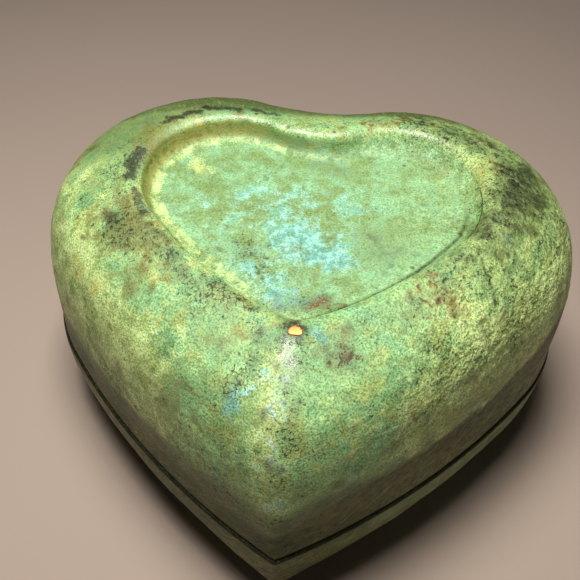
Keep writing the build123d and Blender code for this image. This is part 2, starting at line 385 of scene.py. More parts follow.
class Shader:
    """Builds one material; each method adds a node and returns its output."""

    def __init__(self, name):
        self.material = bpy.data.materials.new(name)
        self.material.use_nodes = True
        self.tree = self.material.node_tree
        self.tree.nodes.clear()
        self.surface = self.tree.nodes.new("ShaderNodeBsdfPrincipled")
        output = self.tree.nodes.new("ShaderNodeOutputMaterial")
        self.tree.links.new(self.surface.outputs[0], output.inputs["Surface"])
        self.place = self.tree.nodes.new("ShaderNodeTexCoord").outputs["Object"]

    def put(self, socket, value):
        if isinstance(value, bpy.types.NodeSocket):
            self.tree.links.new(value, socket)
        elif isinstance(value, tuple) and socket.type == "RGBA":
            socket.default_value = (*value, 1)
        else:
            socket.default_value = value

    def set(self, name, value):
        self.put(self.surface.inputs[name], value)

    def math(self, operation, *values):
        node = self.tree.nodes.new("ShaderNodeMath")
        node.operation = operation
        for socket, value in zip(node.inputs, values):
            self.put(socket, value)
        return node.outputs[0]

    def times(self, first, second):
        return self.math("MULTIPLY", first, second)

    def total(self, *weighted):
        """Sum of (value, weight) pairs."""
        result = 0.0
        for value, weight in weighted:
            result = self.math("MULTIPLY_ADD", value, weight, result)
        return result

    def stretched(self, scale, turn=(0, 0, 0)):
        """Object coordinates turned, then scaled along each axis."""
        turned = self.tree.nodes.new("ShaderNodeMapping")
        turned.inputs["Rotation"].default_value = [math.radians(angle) for angle in turn]
        scaled = self.tree.nodes.new("ShaderNodeMapping")
        scaled.inputs["Scale"].default_value = scale
        self.tree.links.new(self.place, turned.inputs["Vector"])
        self.tree.links.new(turned.outputs[0], scaled.inputs["Vector"])
        return scaled.outputs[0]

    def noise(self, pitch, detail=3.0, roughness=0.55, distortion=0.0, seed=0.0, place=None):
        """Noise, about 0.25 to 0.75, with features of about pitch millimetres."""
        node = self.tree.nodes.new("ShaderNodeTexNoise")
        node.noise_dimensions = "4D"
        self.put(node.inputs["Vector"], place or self.place)
        node.inputs["W"].default_value = seed
        node.inputs["Scale"].default_value = 1 / (pitch * MM)
        node.inputs["Detail"].default_value = detail
        node.inputs["Roughness"].default_value = roughness
        node.inputs["Distortion"].default_value = distortion
        return node.outputs[0]

    def cells(self, pitch, seed=0.0):
        """Distance to the nearest of scattered points about pitch millimetres apart, in pitches."""
        node = self.tree.nodes.new("ShaderNodeTexVoronoi")
        node.voronoi_dimensions = "4D"
        self.put(node.inputs["Vector"], self.place)
        node.inputs["W"].default_value = seed
        node.inputs["Scale"].default_value = 1 / (pitch * MM)
        return node.outputs["Distance"]

    def ramp(self, value, low, high, start=0.0, end=1.0):
        """Smooth step of a value from start at low to end at high."""
        node = self.tree.nodes.new("ShaderNodeMapRange")
        node.interpolation_type = "SMOOTHSTEP"
        self.put(node.inputs["Value"], value)
        for name, number in (("From Min", low), ("From Max", high), ("To Min", start), ("To Max", end)):
            self.put(node.inputs[name], number)
        return node.outputs[0]

    def mix(self, factor, first, second):
        """Colours mixed by a factor."""
        node = self.tree.nodes.new("ShaderNodeMix")
        node.data_type = "RGBA"
        self.put(node.inputs[0], factor)
        self.put(node.inputs[6], first)
        self.put(node.inputs[7], second)
        return node.outputs[2]

    def over(self, colour, tint, amount, strength):
        """A colour with a tint laid over it, by an amount times a strength."""
        return self.mix(self.times(amount, strength), colour, tint)

    def shaded(self, colour, value, low, high, dark, light):
        """A colour multiplied by a grey that goes from dark to light as value goes from low to high."""
        node = self.tree.nodes.new("ShaderNodeMix")
        node.data_type = "RGBA"
        node.blend_type = "MULTIPLY"
        node.inputs[0].default_value = 1
        self.put(node.inputs[6], colour)
        grey = self.mix(self.ramp(value, low, high), (dark,) * 3, (light,) * 3)
        self.put(node.inputs[7], grey)
        return node.outputs[2]

    def crackle(self, pitch):
        """Distance from a wandering network of cracks, in pitches."""
        node = self.tree.nodes.new("ShaderNodeTexVoronoi")
        node.feature = "DISTANCE_TO_EDGE"
        bend = self.tree.nodes.new("ShaderNodeTexNoise")
        bend.inputs["Scale"].default_value = 1 / (pitch * 0.6 * MM)
        self.put(bend.inputs["Vector"], self.place)
        move = self.tree.nodes.new("ShaderNodeVectorMath")
        move.operation = "MULTIPLY_ADD"
        self.put(move.inputs[0], bend.outputs["Color"])
        move.inputs[1].default_value = (pitch * 0.8 * MM,) * 3
        self.put(move.inputs[2], self.place)
        self.put(node.inputs["Vector"], move.outputs[0])
        node.inputs["Scale"].default_value = 1 / (pitch * MM)
        return node.outputs["Distance"]

    def zones(self):
        """Outputs of the masks stored on the mesh, by name."""
        outputs = {}
        for layer, names in Zones.LAYERS.items():
            attribute = self.tree.nodes.new("ShaderNodeAttribute")
            attribute.attribute_name = layer
            parts = self.tree.nodes.new("ShaderNodeSeparateColor")
            self.tree.links.new(attribute.outputs["Color"], parts.inputs[0])
            outputs.update(zip(names, [*parts.outputs[:3], attribute.outputs["Alpha"]]))
        return outputs

    def broken(self, mask, *grains, low=0.25, high=0.75):
        """A mask broken up by grains: near full where the mask is 1, mottled where it is partial."""
        centred = [(self.math("SUBTRACT", grain, 0.5), weight) for grain, weight in grains]
        mottled = self.total((mask, 1.0), *centred)
        return self.times(self.ramp(mottled, low, high), self.ramp(mask, 0.0, 0.25))

    def bump(self, height, depth, strength=1.0):
        """Relief of a height map whose whole range is depth millimetres."""
        node = self.tree.nodes.new("ShaderNodeBump")
        node.inputs["Strength"].default_value = strength
        node.inputs["Distance"].default_value = depth * MM
        self.put(node.inputs["Height"], height)
        return node.outputs[0]


def patina_material(name):
    """Bronze under layered patina: brown oxide, partly standing in for shade, greens, pale blue bloom,
    ochre, rust and wear, with painted shade, painted light and painted highlights in the colour.
    """
    shader = Shader(name)
    zone = shader.zones()
    large = shader.noise(15, 3, seed=1)
    medium = shader.noise(4.8, 4, 0.6, seed=2, distortion=0.5)
    small = shader.noise(1.6, 4, 0.6, seed=3, distortion=0.3)
    fine = shader.noise(0.4, 3, 0.62, seed=4)
    specks = shader.noise(0.62, 3, 0.55, seed=5, distortion=0.3)
    calm = shader.total((1.0, 1.1), (zone["pale"], -0.5), (zone["speckle"], 0.5))
    cloudy = ((medium, 1.6), (small, 0.9), (fine, 0.5))
    grainy = ((small, 1.6), (fine, 2.3))

    # Greens: broad drift and cloudy patches
    green = shader.mix(shader.ramp(large, 0.36, 0.62), srgb(150, 202, 134), srgb(174, 213, 136))
    green = shader.over(green, srgb(126, 160, 92), shader.ramp(medium, 0.52, 0.34), 0.45)
    green = shader.over(green, srgb(180, 222, 156), shader.ramp(small, 0.5, 0.66), 0.45)
    hue = shader.noise(3.6, 3, 0.55, seed=6, distortion=0.4)
    green = shader.over(green, srgb(178, 190, 100), shader.ramp(hue, 0.52, 0.66), 0.6)
    green = shader.over(green, srgb(130, 194, 140), shader.ramp(hue, 0.46, 0.32), 0.55)
    olive = shader.mix(shader.ramp(hue, 0.38, 0.6), srgb(142, 178, 110), srgb(176, 204, 124))
    colour = shader.mix(shader.broken(zone["olive"], *cloudy), green, olive)
    pale = shader.mix(shader.ramp(medium, 0.38, 0.6), srgb(144, 180, 110), srgb(144, 196, 146))
    colour = shader.mix(zone["pale"], colour, pale)
    yellow = shader.mix(shader.ramp(medium, 0.36, 0.62), srgb(186, 206, 118), srgb(208, 232, 152))
    colour = shader.over(colour, yellow, shader.broken(zone["yellow"], *cloudy), 0.8)
    ochre = shader.mix(shader.ramp(small, 0.36, 0.62), srgb(156, 152, 70), srgb(194, 188, 98))
    colour = shader.over(colour, ochre, shader.broken(zone["ochre"], *cloudy), 0.8)
    cyan = shader.mix(shader.ramp(small, 0.38, 0.62), srgb(110, 192, 178), srgb(164, 224, 214))
    colour = shader.over(colour, cyan, shader.broken(zone["cyan"], *cloudy), 0.85)
    # Dark olive: patina in places, painted shade on the back of the lid
    grime_and_shade = shader.broken(zone["grime_and_shade"], *cloudy)
    colour = shader.over(colour, srgb(92, 98, 50), grime_and_shade, 0.75)

    rust = shader.broken(zone["rust"], (medium, 0.9), (small, 1.9), (fine, 0.9), low=0.42, high=0.7)
    rust_colour = shader.mix(shader.ramp(fine, 0.4, 0.6), srgb(88, 68, 34), srgb(146, 112, 58))
    colour = shader.over(colour, rust_colour, rust, 0.85)

    # The lower walls: painted shade as darker green, then smooth scratched brown metal, which partly stands
    # in for shade too
    shade = shader.broken(zone["shade"], (medium, 0.9), (small, 1.1), (fine, 1.2), low=0.05, high=0.85)
    colour = shader.over(colour, srgb(70, 90, 42), shade, 0.8)
    brown = shader.broken(zone["brown"], (medium, 0.8), (small, 0.8), (fine, 0.9), low=0.3, high=0.7)
    scratches = shader.noise(4, 4, 0.7, seed=8, place=shader.stretched((1, 1, 16), (0, 42, 0)))
    bare = shader.mix(shader.ramp(large, 0.4, 0.6), srgb(80, 90, 42), srgb(106, 114, 60))
    bare = shader.over(bare, srgb(60, 62, 28), shader.ramp(small, 0.5, 0.34), 0.5)
    colour = shader.mix(brown, colour, bare)
    scratched = shader.times(shader.ramp(scratches, 0.54, 0.63), shader.math("MAXIMUM", brown, shade))
    colour = shader.over(colour, srgb(172, 164, 88), scratched, 0.7)
    dark = shader.broken(zone["dark"], *grainy)
    dark_colour = shader.mix(shader.ramp(fine, 0.36, 0.65), srgb(32, 34, 28), srgb(62, 66, 50))
    colour = shader.over(colour, dark_colour, dark, 0.92)

    # Grain: the whole skin is sandy, with scattered pits and a few cracks
    colour = shader.shaded(colour, medium, 0.36, 0.62, 0.84, 1.07)
    colour = shader.shaded(colour, small, 0.34, 0.62, 0.84, 1.06)
    sand = shader.total((fine, 1.0), (0.5, -1.0))
    colour = shader.shaded(colour, shader.times(sand, calm), -0.18, 0.14, 0.56, 1.33)
    # Painted light: the yellow zone, flanks included, is lightened by up to 15 percent
    colour = shader.shaded(colour, zone["yellow"], 0.5, 1.0, 1.0, 1.15)
    clustered = shader.total((specks, 1.0), (zone["speckle"], 0.13),
                             (shader.ramp(medium, 0.34, 0.62), -0.1), (0.025, -1.0))
    holes = shader.total((shader.cells(3.6, seed=12), 1.0), (sand, -0.3))
    pit = shader.math("MAXIMUM", shader.ramp(clustered, 0.61, 0.67), shader.ramp(holes, 0.15, 0.09))
    pit = shader.times(pit, zone["pits"])
    crack = shader.times(shader.ramp(shader.crackle(1.8), 0.05, 0.02),
                         shader.broken(zone["cracks"], (medium, 1.5), (small, 2.0), low=0.4, high=0.5))
    pit = shader.math("MAXIMUM", pit, crack)
    colour = shader.over(colour, srgb(34, 42, 26), pit, 0.78)
    # Painted highlight: a pale cream tint on the lip's gloss and on the glare spot
    colour = shader.over(colour, srgb(226, 232, 200), zone["polish_and_glare"], 0.12)
    # Painted highlight: pale flecks on the glare spot below the bare spot, where the lamp's reflection
    # falls
    glare_spot = shader.ramp(zone["polish_and_glare"], 0.75, 0.95)
    glint = shader.times(glare_spot, shader.ramp(fine, 0.48, 0.56))
    colour = shader.mix(glint, colour, srgb(196, 190, 160))
    gold = shader.ramp(shader.total((zone["gold"], 1.0), (sand, 0.8)), 0.35, 0.6)
    gold_colour = shader.mix(shader.ramp(zone["gold"], 0.5, 0.95), srgb(140, 78, 34), srgb(240, 190, 110))
    colour = shader.mix(gold, colour, gold_colour)
    shader.set("Base Color", colour)
    shader.set("Metallic", shader.times(gold, 0.5))

    rough = shader.total((shader.ramp(small, 0.3, 0.7, 0.54, 0.42), 1.0), (zone["cyan"], 0.1),
                         (zone["polish_and_glare"], -0.3), (glare_spot, 0.25))
    shader.set("Roughness", rough)
    gloss = shader.total((0.5, 1.0), (brown, -0.25), (dark, -0.2), (zone["polish_and_glare"], 0.4))
    shader.set("Specular IOR Level", gloss)

    pebbles = shader.times(shader.noise(1.3, 2, 0.5, seed=9), zone["pebbles"])
    soft = shader.total((brown, -0.7), (zone["polish_and_glare"], -0.5), (gold, -0.9), (1.0, 1.0))
    height = shader.total((small, 0.7), (fine, 0.8), (pit, -0.3), (pebbles, 3.6))
    height = shader.total((shader.times(height, soft), 1.0), (medium, 0.5))
    shader.set("Normal", shader.bump(height, 0.24))
    return shader.material


def cast_material(name, shadow, light, roughness):
    """As-cast bronze inside the box: brown, with a haze of green and a sandy grain."""
    shader = Shader(name)
    large = shader.noise(11, 4, 0.6, seed=21)
    small = shader.noise(1.1, 4, 0.6, seed=22)
    fine = shader.noise(0.4, 2, 0.5, seed=23)
    colour = shader.mix(shader.ramp(large, 0.36, 0.64), shadow, light)
    colour = shader.over(colour, srgb(104, 124, 76), shader.ramp(small, 0.55, 0.72), 0.5)
    colour = shader.over(colour, srgb(30, 26, 16), shader.ramp(fine, 0.42, 0.3), 0.6)
    shader.set("Base Color", colour)
    shader.set("Metallic", 0.35)
    shader.set("Roughness", shader.ramp(small, 0.3, 0.7, roughness + 0.1, roughness - 0.1))
    shader.set("Normal", shader.bump(shader.total((small, 1.0), (fine, 0.5)), 0.22, 0.9))
    return shader.material


def brass_material(name):
    """Brushed brass strip, dulled towards brown."""
    shader = Shader(name)
    brushed = shader.noise(6, 4, 0.7, seed=31, place=shader.stretched((1, 1, 26)))
    tarnish = shader.noise(5, 4, 0.6, seed=32)
    colour = shader.mix(shader.ramp(brushed, 0.35, 0.65), srgb(166, 126, 66), srgb(204, 166, 98))
    colour = shader.mix(shader.ramp(tarnish, 0.5, 0.68), colour, srgb(108, 82, 46))
    shader.set("Base Color", colour)
    shader.set("Metallic", 1.0)
    shader.set("Roughness", shader.ramp(tarnish, 0.35, 0.7, 0.26, 0.46))
    shader.set("Normal", shader.bump(brushed, 0.05, 0.6))
    return shader.material


def pile_material(name, shadow, light, tip_glow, pitch):
    """Short pile: velvet or pressed felt, with crushed patches and a sheen at grazing angles."""
    shader = Shader(name)
    crush = shader.noise(9, 3, 0.6, seed=41, distortion=0.6)
    fibres = shader.noise(pitch, 3, 0.7, seed=42, distortion=0.8)
    strands = shader.cells(pitch * 1.3, seed=43)
    colour = shader.mix(shader.ramp(crush, 0.36, 0.64), shadow, light)
    colour = shader.over(colour, tip_glow, shader.ramp(fibres, 0.52, 0.7), 0.6)
    colour = shader.over(colour, shadow, shader.ramp(strands, 0.2, 0.55), 0.35)
    shader.set("Base Color", colour)
    shader.set("Roughness", shader.ramp(crush, 0.3, 0.7, 0.95, 0.8))
    shader.set("Sheen Weight", 0.45)
    shader.set("Sheen Roughness", 0.4)
    shader.set("Sheen Tint", tip_glow)
    shader.set("Normal", shader.bump(shader.total((fibres, 1.0), (strands, 0.5)), pitch * 0.5, 0.8))
    return shader.material


# ---- Lid -----------------------------------------------------------------------
def sunk_floor_to_crest():
    """Rings from the middle of the sunk heart out over its cove and rounded lip."""
    lip_edge = CREST - LIP_DROP
    cove = [ring(RECESS.inset(COVE_RUN * (1 - math.cos(angle))),
                 lip_edge - RECESS_WALL * math.sin(angle))
            for angle in quarter_angles(COVE_CELLS)]
    share = LID_PROFILE[-1][0]
    lip = [ring(SEAM.blend(RECESS, share + (1 - share) * math.sin(angle)),
                CREST - LIP_DROP * (1 - math.cos(angle)))
           for angle in quarter_angles(LIP_CELLS)]
    return filled(cove[0], FLOOR_CELLS)[::-1] + cove + lip[1:]


def lid_inside():
    """Rings from the lid's edge in over its land, up its bore and hollow, to the ceiling's middle."""
    edge = [
        ring(SEAM.inset(0.1), LID_EDGE - 0.2),
        ring(SEAM.inset(0.45), LID_EDGE - 0.42),
        ring(SEAM.inset(LAND_INSET - 0.1), LAND + 0.08),
        ring(SEAM.inset(LAND_INSET), LAND),
        ring(SEAM.inset(EDGE_WALL - 0.1), LAND),
    ]
    bore = [ring(SEAM.inset(EDGE_WALL), LAND + rise) for rise in (0.1, 2.5, 5.0, BORE_HEIGHT - 0.1)]
    hollow = clipped(lid_wall(24, SKIN), LAND + BORE_HEIGHT, FLOOR_Z - SKIN)
    return edge + bore + hollow + filled(hollow[-1], 8)


def lid_skin():
    """The lid's outer skin: a soft cove, gentler to the right, a soft crest and a soft tip ridge."""
    skin = np.array(sunk_floor_to_crest() + lid_wall(DOME_CELLS)[::-1][1:])
    rows = np.arange(len(skin))
    crest = skin[CREST_ROW]
    right_end = smoothstep(4, 30, crest[:, 0] + 0.5 * crest[:, 1])
    skin = soften(skin, np.exp(-((rows - FLOOR_CELLS) / 5.0) ** 2)[:, None], 16, 0)
    skin = soften(skin, np.outer(np.exp(-((rows - FLOOR_CELLS - 6) / 9.0) ** 2), right_end), 50, 0)
    skin = soften(skin, np.exp(-((rows - RECESS_ROWS) / 9.0) ** 4)[:, None], 14, 0)
    last = rows[-1]
    amount = np.interp(rows, (0, CREST_ROW * 0.6, CREST_ROW, last * 0.5, last * 0.8, last),
                       (0.2, 0.5, 0.9, 1.0, 0.55, 0.0))
    return soften(skin, np.outer(amount, near_tip(16)), 70, 1)


def lid_relief(skin):
    """Unevenness of the casting along the skin's normals, in millimetres."""
    fade = smoothstep(0.0, 2.5, skin[..., 2] - LID_EDGE)
    middle = np.minimum(1, np.arange(len(skin)) / 6)[:, None]
    right = smoothstep(10, 34, skin[..., 0]) * smoothstep(14, -8, skin[..., 1])
    worms = 1 - np.abs(field(skin, 2.6, 2, seed=7)) * 3.2
    relief = (0.20 * field(skin, 24, 2, seed=5) + 0.085 * field(skin, 6.5, 3, seed=6)
              + 0.045 * field(skin, 2.4, 2, seed=9) + 0.07 * right * np.clip(worms, -1, 1))
    return relief * fade * middle


def lid_zones(grid):
    """Where each kind of patina lies on the lid, with the painted light and shade."""
    zones = Zones(grid)
    x, y = grid[..., 0], grid[..., 1]
    rows = np.arange(len(grid))[:, None]
    sunk = rows < RECESS_ROWS
    beyond_crest = (rows - CREST_ROW) * ROW_PITCH
    drift = field(grid, 16, 2, seed=21)
    cloud = field(grid, 7, 3, seed=22)
    right = smoothstep(4, 42, x + 0.3 * y + 9 * cloud)
    left = smoothstep(6, -30, x)

    paint_ground(zones, sunk, right, left, drift, cloud)
    paint_recess(zones, rows)
    paint_walls(zones, sunk)
    paint_crest(zones, beyond_crest, sunk)
    paint_spots(zones)
    return zones.layers()


def paint_ground(zones, sunk, right, left, drift, cloud):
    """Broad colour: green with yellow and ochre drifts, flanks yellowed and lightened as painted light, a
    back darkened as painted shade, and olive, pebbled and speckled towards the right."""
    x, y, z = (zones.grid[..., axis] for axis in range(3))
    zones.add("olive", 0.9 * right * ~sunk)
    zones.add("yellow", 0.5 * smoothstep(-0.1, 0.55, drift + 0.4 * cloud) * (0.4 + 0.6 * left) * ~sunk)
    flank = smoothstep(30, 42, z) * smoothstep(66, 58, z) * smoothstep(14, 26, abs(x))
    # Painted light: the flanks, which the lamp grazes, are given yellow, which the material also lightens
    zones.add("yellow", (0.75 + 0.25 * zones.ragged) * flank * ~sunk)
    zones.add("ochre", 0.35 * smoothstep(0.05, 0.6, 0.5 * drift - cloud) * ~sunk)
    zones.add("grime_and_shade", 0.45 * smoothstep(0.0, 0.6, -0.8 * drift - 0.8 * cloud) * ~sunk)
    # Painted shade: the back is darkened with dark olive and the shade tone, and the left back with the
    # shade tone
    zones.add("grime_and_shade", 0.65 * smoothstep(18, 27, y) * ~sunk)
    zones.add("shade", smoothstep(17, 27, y - 0.12 * x) * ~sunk)
    zones.add("shade", 0.55 * smoothstep(-20, -38, x) * smoothstep(-6, 8, y) * ~sunk)
    bottom = np.interp(x, (-6, 6), (LID_EDGE + 1, LID_EDGE + 7))
    zones.add("pits", np.where(sunk, 0.8, 1.0) * smoothstep(bottom, bottom + 10, z))
    zones.add("pebbles", smoothstep(12, 34, x) * smoothstep(12, -6, y) * ~sunk)
    high = smoothstep(LID_EDGE + 18, LID_EDGE + 32, z)
    zones.add("speckle", 0.75 * smoothstep(8, 32, x) * high * ~sunk)


def paint_recess(zones, rows):
    """The sunk heart: pale green floor with a yellow border, ochre wall on the left with painted shade on
    it, and a painted shadow in the crease along the right front."""
    grid = zones.grid
    x, y, z = grid[..., 0], grid[..., 1], grid[..., 2]
    inside = np.linalg.norm(grid - grid[FLOOR_CELLS], axis=2)
    floor = (rows <= FLOOR_CELLS) * smoothstep(0.5, 4.0, inside)
    sunk = rows < RECESS_ROWS
    zones.add("pale", sunk * np.interp(x + 4 * zones.ragged, (6, 28), (0.9, 0.65)))
    zones.add("olive", 0.4 * sunk * smoothstep(6, 28, x + 4 * zones.ragged))
    zones.add("grime_and_shade", 0.35 * floor * smoothstep(0.15, 0.6, zones.ragged))
    width = np.interp(y, (-20, 0), (3.2, 1.4))
    border = smoothstep(1.3, 0.7, inside / width) * smoothstep(FLOOR_Z + 0.8, FLOOR_Z + 0.2, z)
    zones.add("yellow", sunk * border * np.interp(x, (-34, -12, 8, 30), (0.65, 0.45, 0.3, 0.1)))
    wall = smoothstep(FLOOR_Z + 0.15, FLOOR_Z + 0.8, z) * smoothstep(CREST - 0.7, CREST - 1.5, z)
    wall = wall * (rows > FLOOR_CELLS) * (rows < CREST_ROW)
    zones.add("ochre", wall * np.interp(x, (-34, -20, -4, 30), (1.0, 0.85, 0.3, 0.0)))
    zones.add("yellow", wall * 0.3)
    # Painted shade on the back-left wall
    zones.add("shade", wall * np.interp(x, (-34, -4, 8), (0.25, 0.35, 0.0)))
    # Painted shadow: dark and shade tones in the crease where the floor meets the wall, along the right
    # front
    crease = np.exp(-(inside / 0.75) ** 2) * smoothstep(-10, 2, x) * smoothstep(4, -8, y)
    zones.add("dark", 0.5 * sunk * crease)
    zones.add("shade", 0.7 * sunk * crease)


def paint_walls(zones, sunk):
    """Smooth brown metal low on the walls, higher to the right, which partly stands in for their shade;
    painted shade as darker green above it; and painted shade at the tip's foot.
    """
    x, z = zones.grid[..., 0], zones.grid[..., 2]
    height = np.interp(x, (-58, -45, -30, -13, -4, 0, 4, 9, 20, 40, 54, 58),
                       (8, 9, 10, 10, 10, 10, 12, 14, 15, 15, 19, 20))
    rise = (z - LID_EDGE) / height + 0.08 * zones.ragged
    left = smoothstep(6, -6, x)
    # The brown band is bare metal that partly stands in for the shade of the lower walls
    band = 1 - smoothstep(0.9 - 0.54 * left, 1.08 + 0.34 * left, rise)
    zones.add("brown", band * (0.78 - 0.1 * left) * ~sunk)
    reach = np.interp(x, (-30, -6, 4, 22), (1.6, 2.2, 1.8, 1.15))
    # Painted shade: darker green above the brown band
    zones.add("shade", (1 - smoothstep(0.95, reach, rise)) * ~sunk)
    zones.add("pebbles", np.exp(-((rise - 1.4) / 0.45) ** 2) * smoothstep(4, 14, x))
    low = 1 - smoothstep(0.5, 1.3, rise)
    zones.add("ochre", 0.5 * low * smoothstep(0.1, 0.7, zones.ragged) * left)
    # Painted shade: dark at the tip's foot
    zones.add("dark", 0.44 * low * np.exp(-((x - 3) / 13) ** 2) * ~sunk)
    zones.add("speckle", 0.9 * left * (1 - smoothstep(1.5, 2.6, rise)))


def paint_crest(zones, beyond_crest, sunk):
    """A dark speckled band just outside the lip, rubbed dashes on it, and a gloss on the lip with a painted
    highlight tint.
    """
    x, y = zones.grid[..., 0], zones.grid[..., 1]
    band = np.exp(-((beyond_crest - 2.6) / 3.4) ** 2) * ~sunk
    front_left = smoothstep(-8, -18, x) * smoothstep(2, -8, y)
    zones.add("grime_and_shade", band * (0.3 + 0.2 * front_left))
    zones.add("speckle", band * (0.45 + 0.55 * front_left))
    gloss = smoothstep(-30, -18, y) * smoothstep(34, 24, x)
    # Gloss on the lip's inner rounding, which also carries a painted highlight tint
    zones.add("polish_and_glare", 0.7 * np.exp(-((beyond_crest + 2.4) / 0.9) ** 2) * gloss)
    zones.streaks("dark", ((-34, 14.5), (-28, 18), 1.5, 0.8), ((-26, 20), (-19, 20.5), 1.3, 0.75),
                  ((-16, 21), (-10, 19.5), 1.1, 0.65), ((-38, 3), (-38, -5), 1.5, 0.8),
                  ((-36.5, -9), (-33, -15), 1.1, 0.75), ((-31, -19), (-22, -29), 1.6, 0.42),
                  ((-18, -31), (-8, -37), 1.4, 0.42), ((22, 23), (39.3, 16), 2.6, 0.5),
                  ((39.3, 16), (48, 0), 3.4, 0.45), ((39.5, -5), (35, -14), 1.1, 0.55),
                  ((34, -17), (38, -27), 0.5, 0.6))
    zones.streak("speckle", (20, 23), (40, 16), 5)
    zones.patches("dark", (-40, -16, 2.2, 1.6, -60, 0.65), (43, 3, 14, 5.0, 75, 0.55),
                  (33, 16, 10, 2.6, -30, 0.5))
    zones.patches("grime_and_shade", (-36, -19, 10, 5, -40, 0.8), (44, 2, 18, 7, 75, 0.65),
                  (36, -9, 6, 4, 60, 0.7))
    zones.patches("ochre", (-36, 8, 8, 4.0, 75, 0.9), (-34, -20, 12, 6.0, -50, 0.6),
                  (36, 4, 9, 3, 80, 0.5))
    zones.patch("rust", 41, 8, 5, 3.0, 75, 0.55)
    zones.patch("shade", 45, 2, 15, 6, 75, 0.5)
    zones.patches("speckle", (-28, -21, 9, 3, -40), (-37, -18, 10, 6, -40), (30, 16, 14, 5, -25),
                  (43, 2, 20, 9, 75), (37, -9, 8, 3, 60))


def paint_spots(zones):
    """Single spots, in millimetres and degrees, the bare spot rubbed through in front of the recess, and a
    painted glare below it.
    """
    zones.streak("cyan", (-1.5, -50), (-0.5, -66), 3.0, 0.35)
    zones.streak("ochre", (-3.0, -55), (-1.0, -64), 1.6, 0.5)
    zones.streak("yellow", (-4.0, -48), (-1.0, -66), 3.4, 0.65)
    zones.patches("cracks", (-10, -51, 5, 3.4, 80, 0.62), (-14, -34, 6, 2.0, -40, 0.6))
    zones.patches("cyan", (-6, -7, 17, 7, 0, 0.5), (4, -19, 4, 3, 0), (-8, -24, 7, 3.4, -40, 0.6),
                  (-3, -30, 6, 2.4, 0, 0.6), (-9.2, -54.2, 2.8, 2.0, 40, 0.75),
                  (-6.6, -53, 2.0, 1.2, 40, 0.7), (-5, -49.6, 1.7, 1.0, 30, 0.6),
                  (40, -12, 3.0, 1.6, -60, 0.45), (-20, -31, 6, 1.4, -42, 0.3),
                  (4.6, -41.5, 2.2, 1.6, 0, 0.7))
    zones.patches("dark", (10, -45.2, 4.0, 2.4, 20, 0.4), (2, -57, 8, 2.4, 80, 0.36),
                  (-12, -19.5, 6, 3.0, -30, 0.33), (-5.2, -41.8, 1.6, 1.8, 60, 0.55),
                  (-0.6, -47.0, 4.6, 2.6, 90, 0.42))
    zones.patches("grime_and_shade", (2, 8, 13, 3.4, 0, 0.45), (3, -31, 8, 3, 0, 0.6), (15, -14, 8, 7, 60, 0.42),
                  (-46, -7, 5, 3, 70, 0.5), (-14, -42, 7, 4, -40, 0.42))
    zones.patch("ochre", -24, 4, 3.0, 2.0, 30, 0.4)
    zones.patches("rust", (18, 20, 12, 2.8, 0, 0.6), (25, -27, 7, 5, -40, 0.5),
                  (10, -45.6, 2.0, 1.3, 20), (4, -61, 2.0, 1.1, 60, 0.5), (24, -48, 2.0, 1.2, 30, 0.5),
                  (5, -31, 5, 2.4, 0, 0.5), (0.0, -41.6, 2.4, 2.0, 0, 0.6))
    zones.patches("speckle", (-10, -53, 6, 4, 70, 0.8), (0, -58, 10, 5, 88), (8, -42, 7, 3, 10, 0.7),
                  (-11, -20, 7, 4.0, -30), (15, -2, 4.0, 1.6, 10), (0, -32, 10, 3, 0),
                  (-12, -35, 10, 3, -40), (0, -45, 4.5, 3.0, 90))
    zones.patches("yellow", (-25, 5, 4.2, 3.0, 30, 0.6), (-44, -16, 5.5, 4.0, 60, 0.9),
                  (-50, -12, 6, 4.0, 75, 0.35), (30, -30, 9, 5, -40, 0.6))
    zones.patch("cyan", 1, -16, 10, 6.0, -15, 0.7, soft=0.6)
    for x, y in ((21.5, -34), (27, -27), (30, -20)):
        zones.patch("dark", x, y, 3.6, 2.2, 45, 0.4)
        zones.patch("speckle", x, y, 4, 3, 45, 1.0)

    zones.patch("dark", 0.0, -41.6, 3.2, 2.7, 0, 0.7, soft=0.7)
    zones.streak("gold", (-0.1, -41.5), (0.5, -41.5), 0.95, soft=0.5, ragged=0.15)
    # Painted glare: gloss, a pale tint and pale flecks where the lamp's reflection falls, below the bare
    # spot
    zones.patch("polish_and_glare", -0.4, -47.0, 3.4, 1.4, 90, 0.9, ragged=0.6)


def fit_seam(grid, edge_row):
    """Flares the lid's lower edge out and waves it: up a little by the tip, down at the back."""
    angle = np.arctan2(grid[edge_row, :, 0], -grid[edge_row, :, 1])
    lift = 0.25 * np.cos(angle - 0.5) + 0.06 * np.sin(5 * angle) + 0.05 * np.sin(9 * angle + 1) - 0.14
    reach = smoothstep(LID_EDGE + 9, LID_EDGE, grid[..., 2]) * (grid[..., 2] > LAND + 0.3)
    reach[edge_row + 4:] = 0
    outward = normals(grid)[edge_row - 3] * (1, 1, 0)
    grid[..., 2] += lift * reach
    grid += FLARE * reach[..., None] ** 2 * outward


patina = patina_material("green_bronze_patina")
raw_cast = cast_material("raw_cast_bronze", srgb(112, 94, 60), srgb(150, 130, 86), 0.5)

skin = lid_skin()
lid_masks = lid_zones(skin)
inside = np.array(lid_inside())
skin = skin + normals(skin) * lid_relief(skin)[..., None]
lid_grid = np.concatenate((skin, inside))
fit_seam(lid_grid, len(skin) - 1)
unpainted = np.zeros((len(inside), RING, 4))
painted = {layer: np.concatenate((masks, unpainted)) for layer, masks in lid_masks.items()}
lid = mesh_from_rings("lid_shell_patina", lid_grid, [patina, raw_cast], painted,
                      inner_rows=range(len(skin) + 1, len(lid_grid) - 1))
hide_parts("lid_shell")
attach(lid, "lid")


